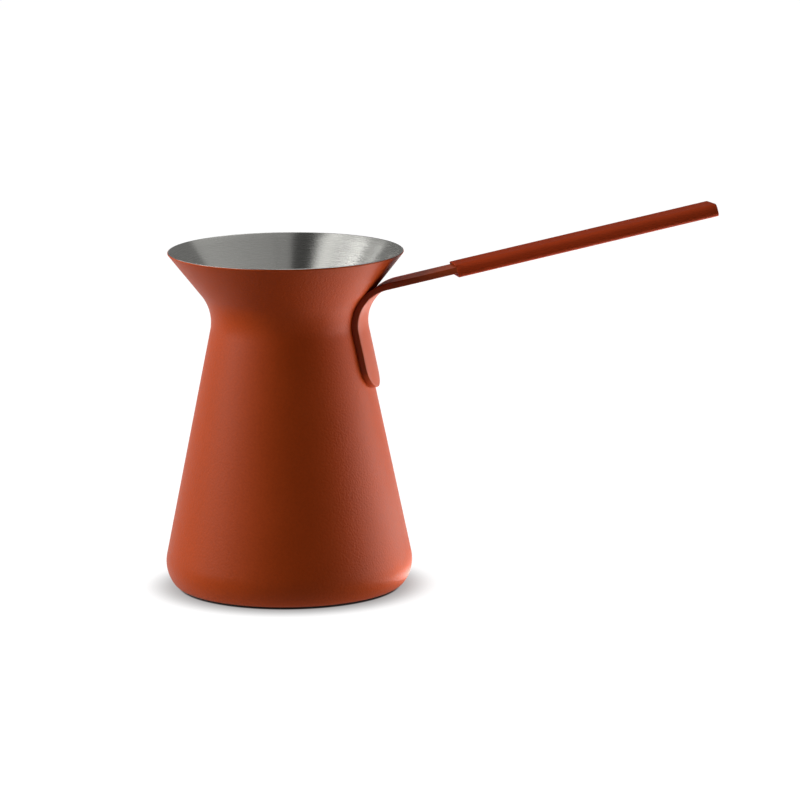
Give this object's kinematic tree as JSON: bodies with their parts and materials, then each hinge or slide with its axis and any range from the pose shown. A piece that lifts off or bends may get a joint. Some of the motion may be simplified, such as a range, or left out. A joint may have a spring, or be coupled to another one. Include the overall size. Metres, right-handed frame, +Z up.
{
  "type": "turkish coffee pot",
  "caption": "Flask-shaped stove-top coffee pot with a flared mouth, a long welded strap handle and a soft grip sleeve.",
  "frame": {"origin": "centre of the base plate's lower face, on the pot's axis, where the pot meets the hob or table", "axes": "+Z up along the pot's axis, +X along the handle away from the pot, +Y by the right-hand rule"},
  "size_m": [0.2047, 0.09, 0.1462],
  "materials": {
    "steel": "brushed round the axis, semi-gloss",
    "body_coat": "matte powder coat with a fine grain",
    "strap_coat": "satin coat",
    "sleeve": "matte silicone rubber"
  },
  "bodies": {
    "root": {"pot_shell": "steel", "exterior_coating": "body_coat", "base_plate": "steel", "handle_strap": "strap_coat", "strap_welds": "steel", "grip_sleeve": "sleeve"}
  },
  "joints": []
}
